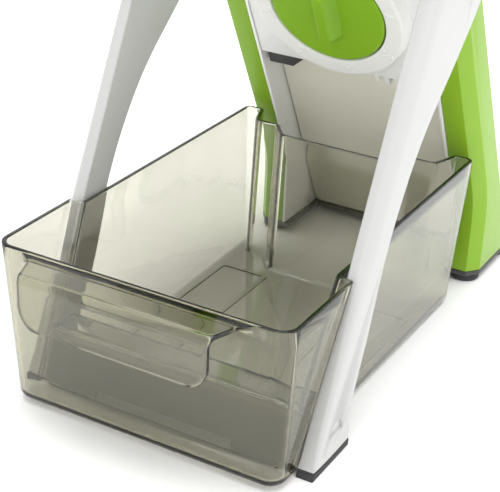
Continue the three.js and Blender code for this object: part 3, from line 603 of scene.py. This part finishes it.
def finger_pull():
    """A sheet along a path that leaves the front wall at the rim, folds down and ends in a lip. Its
    half-width narrows from the wall to the fold, stays level down the lip and rounds in at the bottom
    corners; a root below it thickens it into the wall."""
    thick, reach, drop, bend, corner = 2.2, 17.7, 24.0, 3.4, 11.0
    sunk = 1.4  # the path starts this far inside the wall
    step = 0.7  # below the rim
    narrow, widening, flare = 44.5, 6.5, 5.0
    mid = thick / 2
    straight = reach - mid - bend + sunk
    level = np.linspace(0, straight, 14)
    fold = np.linspace(0, pi / 2, 9)[1:]
    down = np.linspace(0, drop - mid - bend, 26)[1:]
    lip = sunk - straight - bend
    y = np.concatenate([sunk - level, sunk - straight - bend * np.sin(fold), np.full(len(down), lip)])
    fallen = np.concatenate([np.zeros(len(level)), bend * (1 - np.cos(fold)), bend + down])
    z = RIM - step - mid - fallen
    heading = np.concatenate([np.zeros(len(level)), fold, np.full(len(down), pi / 2)])
    along = np.concatenate([[0], np.cumsum(np.hypot(np.diff(y), np.diff(z)))])
    left = along[-1] - along
    share = np.clip((along - sunk) / (straight + bend), 0, 1)
    at_wall = np.clip(1 - (along - 1.0) / 5.5, 0, 1) ** 2
    half = narrow + widening * (1 - share) ** 1.3 + flare * at_wall
    cut = np.clip(corner - left, 0, corner)
    half = half - (corner - np.sqrt(np.maximum(corner**2 - cut**2, 0)))
    root = 2.4 * np.clip(1 - (along - sunk) / 3.4, 0, 1) ** 2
    round_side = np.linspace(-pi / 2, pi / 2, 9)[1:-1]
    across = np.linspace(-1, 1, 41)
    rings = []
    for i in range(len(y)):
        thin = thick * np.sqrt(max(1 - (1 - min(left[i] / 0.9, 1)) ** 2, 0.02))
        r = thin / 2
        inner = half[i] - r
        bulge = r * np.cos(round_side)
        x = np.concatenate([across * inner, inner + bulge, -across * inner, -inner - bulge])
        side = r * np.sin(round_side)
        off = np.concatenate([np.full(41, -r - root[i]), side, np.full(41, r), -side])
        rings.append(upright(x, y[i] - off * np.sin(heading[i]), z[i] + off * np.cos(heading[i])))
    return stack("pull", rings[::-1], 35)


def rectangle(side, inner_x, outer_x, front, rear, radius):
    """A rounded rectangle in plan, to the right of the middle or mirrored to the left of it."""
    corners = [(inner_x, front), (outer_x, front), (outer_x, rear), (inner_x, rear)]
    return rounded([(side * x, y) for x, y in corners][::side], [radius] * 4)


def floor_step(side):
    """A low raised frame on the floor, on each side of the middle: one rounded rectangle less another that
    is a border smaller."""
    inner_x, outer_x, front, rear, border = 25, 52.5, 66, 160, 2.5
    floor = DRAWER_LIFT + WALL
    outline = rectangle(side, inner_x, outer_x, front, rear, 3)
    hole = rectangle(side, inner_x + border, outer_x - border, front + border, rear - border, 2)
    raised = plate("step", outline, floor - 0.8, floor + 0.55, upright, 0.05, 0.45)
    return combine(raised, plate("hollow", hole, floor - 0.1, floor + 3, upright, 0.3, 0.05), "DIFFERENCE")


def drawer():
    """The tub with the tunnel's walls, hollowed under them, the finger pull and the floor frames."""
    tub = drawer_tub()
    combine(tub, tunnel(WALL, LEG_INNER - 3.4, DRAWER_LIFT + WALL + 0.5), "UNION")
    combine(tub, tunnel(0, HALF_WIDTH + 4, -2.0), "DIFFERENCE")
    combine(tub, finger_pull(), "UNION")
    for side in (1, -1):
        combine(tub, floor_step(side), "UNION")
    tub.data.shade_smooth()
    tub.data.set_sharp_from_angle(angle=radians(32))
    return tub


dress(drawer(), "drawer", "smoked_plastic", SMOKED, "drawer")


# ---- dial ----


def on_plate(x, y, v):
    """A point beside the dial's centre, at a depth."""
    return along_housing(x, v, DIAL + y)


def facing_front(profile):
    """A profile of (radius, height in front of the plate) as (radius, v)."""
    return [(r, -h) for r, h in profile]


RING_FACE = 7.0
ring_profile = [
    (29.3, -0.3), (29.3, 5.9), (29.42, 6.35), (29.75, 6.65),
    (30.3, RING_FACE - 0.2), (31.2, RING_FACE - 0.1), (33.5, RING_FACE - 0.05), (36.2, RING_FACE),
    (37.2, RING_FACE - 0.1), (37.75, RING_FACE - 0.45), (37.95, RING_FACE - 1.0),
    (38.1, 4.4), (38.35, 2.6), (38.75, 1.2), (39.1, 0.2), (39.2, -0.3),
]
NUMERAL = {"size": 7.8, "extrude": 0.45, "bevel_depth": 0.14, "offset": -0.1}
NUMERAL_RADIUS = 33.4
NUMERAL_START, NUMERAL_STEP = 56, 45  # degrees


def numeral(text, angle):
    """A raised numeral on the dial's ring, its top towards the rim, as a mesh."""
    curve = bpy.data.curves.new("numeral", "FONT")
    curve.body = text
    curve.align_x = "CENTER"
    curve.align_y = "CENTER"
    for key, value in NUMERAL.items():
        setattr(curve, key, value * MM)
    holder = bpy.data.objects.new("numeral", curve)
    bpy.context.scene.collection.objects.link(holder)
    bpy.context.view_layer.update()
    mesh = bpy.data.meshes.new_from_object(holder.evaluated_get(bpy.context.evaluated_depsgraph_get()))
    bpy.data.objects.remove(holder)
    flat = np.empty(len(mesh.vertices) * 3)
    mesh.vertices.foreach_get("co", flat)
    x, y, up = flat.reshape(-1, 3).T / MM
    turn = angle - pi / 2
    out = y + NUMERAL_RADIUS
    px = x * cos(turn) - out * sin(turn)
    py = x * sin(turn) + out * cos(turn)
    points = on_plate(px, py, -(RING_FACE - 0.2) - up)
    mesh.vertices.foreach_set("co", (points * MM).ravel())
    mesh.update()
    return mesh


def join(name, meshes):
    """Several meshes as one object."""
    bm = bmesh.new()
    for mesh in meshes:
        bm.from_mesh(mesh)
    merged = bpy.data.meshes.new(name)
    bm.to_mesh(merged)
    bm.free()
    merged.shade_smooth()
    merged.set_sharp_from_angle(angle=radians(30))
    obj = bpy.data.objects.new(name, merged)
    bpy.context.scene.collection.objects.link(obj)
    return obj


ring = turned("dial_ring_finished", facing_front(ring_profile), on_plate, 160, 40)
dress(ring, "housing", "white_plastic", MATT_WHITE, "dial_ring")
places = [radians(NUMERAL_START - NUMERAL_STEP * i) for i in range(8)]
numerals = join("dial_numerals", [numeral(str(i + 1), place) for i, place in enumerate(places)])
dress(numerals, "housing", "white_plastic", MATT_WHITE)

# From the middle of the face out over the rim, up inside the skirt and back to the middle.
knob_profile = [
    (0, 6.5), (18, 6.55), (25.4, 6.7), (27.0, 6.85), (27.7, 6.8), (28.2, 6.55), (28.5, 6.1),
    (28.6, 5.4), (28.6, 1.2), (28.3, 1.0), (25.4, 1.0), (25.2, 1.2), (25.2, 4.9), (25.0, 5.1), (0, 5.1),
]
knob = turned("dial_knob_finished", facing_front(knob_profile[::-1]), on_plate, 128, 40)


def knob_ridge():
    """The grip bar: rounded-end outlines that narrow with height, sunk a little into the knob's face."""
    foot, height = 6.0, 7.0
    wide, taper = 6.6, 3.6
    long, shorten = 16.5, 3.0
    angle = np.linspace(0, pi, 17)
    rings = []
    for s in np.linspace(0, 1, 9):
        round_top = 0.9 * (1 - np.sqrt(max(1 - s**6, 0)))
        reach = wide - taper * s**0.8 - round_top
        straight = long - shorten * s**1.6 - reach
        top = np.stack([reach * np.cos(angle), straight + reach * np.sin(angle)], axis=1)
        outline = np.vstack([top, -top])
        depth = np.full(len(outline), -(foot + height * s))
        rings.append(on_plate(outline[:, 0], outline[:, 1], depth))
    return stack("knob_ridge", rings[::-1], 50)


combine(knob, knob_ridge(), "UNION")
knob.data.shade_smooth()
knob.data.set_sharp_from_angle(angle=radians(38))
dress(knob, "dial", "green_plastic", KNOB_GREEN, "dial_knob")


# ---- springs ----


SHELF_TOP = 58 + 6  # the springs stand on the shelves that hold the rods
EAR_LOW = 213  # and carry the carriage's ears
WIRE_ROOM = 0.6  # left for half the wire at each end
SPRING_GAP = 0.3
SPRING_LOW = SHELF_TOP + WIRE_ROOM + SPRING_GAP  # height of the wire's centre line at its lower end
SPRING_HIGH = EAR_LOW - WIRE_ROOM - SPRING_GAP
ROD_DEPTH = 14
ROD_X = (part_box("return_spring_right")[0].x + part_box("return_spring_right")[1].x) / 2 / MM


def coil(side, name):
    """A round wire along a helix, closed at both ends. Its height is the share of the turns made, less a
    small sine of that share, so the coils lie closer together towards both ends."""
    turns, radius, wire = 22, 4.3, 0.55
    t = np.linspace(0, 1, turns * 20)
    ease = t - 0.018 * np.sin(2 * pi * t)
    angle = 2 * pi * turns * t
    around = np.linspace(0, 2 * pi, 9)[:-1]
    reach = radius + wire * np.cos(around)
    rings = []
    for a, s in zip(angle, ease):
        x = ROD_X * side + reach * cos(a)
        v = ROD_DEPTH + reach * sin(a)
        u = SPRING_LOW + (SPRING_HIGH - SPRING_LOW) * s + wire * np.sin(around)
        rings.append(along_housing(x, v, u))
    return stack(name + "_finished", rings, 60)


for side, name in ((1, "return_spring_right"), (-1, "return_spring_left")):
    spring = dress(coil(side, name), "housing", "steel", STEEL, name)
    seat = [float(c) * MM for c in along_housing(ROD_X * side, ROD_DEPTH, SPRING_LOW)]
    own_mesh(spring)


# ---- grip ----


def grip():
    """A soft oval bar across the width: an ellipse whose size eases to nothing at the ends, with shallow
    finger ribs in the middle."""
    low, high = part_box("press_grip")
    centre_y = (low.y + high.y) / 2 / MM - BACK
    centre_z = (low.z + high.z) / 2 / MM
    half = high.x / MM
    half_deep, half_high = 15 - 0.6, 11 - 0.5
    rib_height, rib_pitch, ribbed = 0.35, 5, 26
    u = np.linspace(-pi / 2, pi / 2, 121)
    x = half * np.sign(np.sin(u)) * np.abs(np.sin(u)) ** 0.6
    end = np.clip(1 - (np.abs(x) / half) ** 14, 0, 1) ** 0.5
    around = np.linspace(0, 2 * pi, 65)[:-1]
    rings = []
    for xi, e in zip(x, end):
        rib = rib_height * np.clip(np.cos(xi / rib_pitch * 2 * pi), 0, 1) * (abs(xi) < ribbed)
        size = max(e, 0.02)
        a = (half_deep * size - rib) * np.cos(around)
        b = (half_high * size - rib) * np.sin(around)
        y = centre_y + a * cos(LEAN) - b * sin(LEAN)
        z = centre_z + a * sin(LEAN) + b * cos(LEAN)
        rings.append(upright(xi, y, z))
    return stack("press_grip_finished", rings, 60)


dress(grip(), "carriage", "green_plastic", GRIP, "press_grip")


# ---- pieces finished from the frame ----

ONE, PAIR, FOUR = ("",), ("_right", "_left"), ("_1", "_2", "_3", "_4")
# (name, endings of its nodes, round of its edges, material)
FINISHES = (
    ("housing_shell", ONE, 0.9, GREEN),
    ("rear_cover", ONE, 0.6, GREEN),
    ("pusher_cap", ONE, 1.2, GREEN),
    ("front_plate", ONE, 0.5, WHITE),
    ("liner", PAIR, 0.3, WHITE),
    # the crossbar: white plastic, coloured dark olive as painted shade
    ("crossbar", ONE, 0.8, BAR_PAINTED_SHADE),
    ("pivot_cap", PAIR, 0.5, WHITE_IN_PAINTED_SHADE),
    ("carriage_frame", ONE, 0.5, WHITE_IN_PAINTED_SHADE),
    ("feed_chute", ONE, 0.5, WHITE_IN_PAINTED_SHADE),
    ("pusher_body", ONE, 0.6, WHITE_IN_PAINTED_SHADE),
    ("thickness_board", ONE, 0.3, WHITE),
    ("dial_shaft", ONE, 0.3, WHITE),
    ("julienne_comb", ONE, 0.25, MATT_WHITE),
    ("julienne_tab", ONE, 0.4, DARK),
    ("base_trim", ONE, 0.5, DARK),
    ("lower_panel", ONE, 0.2, BEIGE),
    ("foot_pad", PAIR, 0.5, RUBBER),
    ("foot_front", PAIR, 0.8, RUBBER),
    ("foot_rear", PAIR, 0.8, RUBBER),
    ("main_blade", ONE, 0.05, STEEL),
    ("guide_rod", PAIR, 0.4, STEEL),
    ("pivot_pin", PAIR, 0.3, STEEL),
    ("blade_screw", PAIR, 0.2, STEEL),
    ("cover_screw", FOUR, 0.2, STEEL),
)
slots = {part["node"]: part["material_slot"] for part in frame["record"]["subparts"]}
bodies = {node: body for body, nodes in frame["record"]["behaviour"]["bodies"].items() for node in nodes}
for name, endings, width, material in FINISHES:
    for node in [name + ending for ending in endings]:
        dress(soften(node, width), bodies[node], slots[node], material, node)


# ---- floor, light and camera ----


def studio():
    """A pale floor, an even white surround and soft panels."""
    bpy.ops.mesh.primitive_plane_add(size=14, location=(0, 0, 0))
    floor = bpy.context.object
    floor.name = "floor"
    paper = Nodes("pale floor")
    paper.set(Base_Color=(0.97, 0.97, 0.97, 1), Roughness=0.75)
    floor.data.materials.append(paper.material)

    world = bpy.data.worlds.new("surround")
    world.use_nodes = True
    world.node_tree.nodes["Background"].inputs["Color"].default_value = (1, 1, 1, 1)
    world.node_tree.nodes["Background"].inputs["Strength"].default_value = 0.9
    bpy.context.scene.world = world

    for name, place, size, power in (
        ("overhead", (0.1, -0.2, 2.2), 1.8, 40),
        ("side", (1.7, 0.3, 0.9), 1.2, 6.5),
        ("back", (0.3, 1.7, 1.3), 1.2, 5),
        ("front", (0.25, -1.5, 0.3), 1.0, 4),
    ):
        light = bpy.data.lights.new(name, "AREA")
        light.energy = power
        light.size = size
        lamp = bpy.data.objects.new(name, light)
        lamp.location = place
        lamp.rotation_euler = (Vector((0, 0, 0.15)) - Vector(place)).to_track_quat("-Z", "Y").to_euler()
        bpy.context.scene.collection.objects.link(lamp)
    bpy.context.scene.view_settings.view_transform = "Standard"


def camera():
    """The camera to the right of the front, above, with a slight roll."""
    azimuth, elevation, roll = radians(28.67), radians(26.6), radians(2.54)
    focal_ratio = 2.79128  # focal length over sensor width
    target = np.array([16.96, 61.55 + BACK, 74.4]) * MM
    distance = 585.8 * MM
    back = np.array([sin(azimuth) * cos(elevation), -cos(azimuth) * cos(elevation), sin(elevation)])
    right = np.array([cos(azimuth), sin(azimuth), 0.0])
    up = np.cross(back, right)
    across = cos(roll) * right + sin(roll) * up
    upward = -sin(roll) * right + cos(roll) * up
    lens = bpy.data.cameras.new("camera")
    lens.sensor_width = 36
    lens.lens = lens.sensor_width * focal_ratio
    lens.clip_start = 0.01
    eye = bpy.data.objects.new("camera", lens)
    bpy.context.scene.collection.objects.link(eye)
    place = target + back * distance
    eye.matrix_world = Matrix([*np.stack([across, upward, back, place], axis=1), (0, 0, 0, 1)])
    bpy.context.scene.camera = eye


studio()
camera()
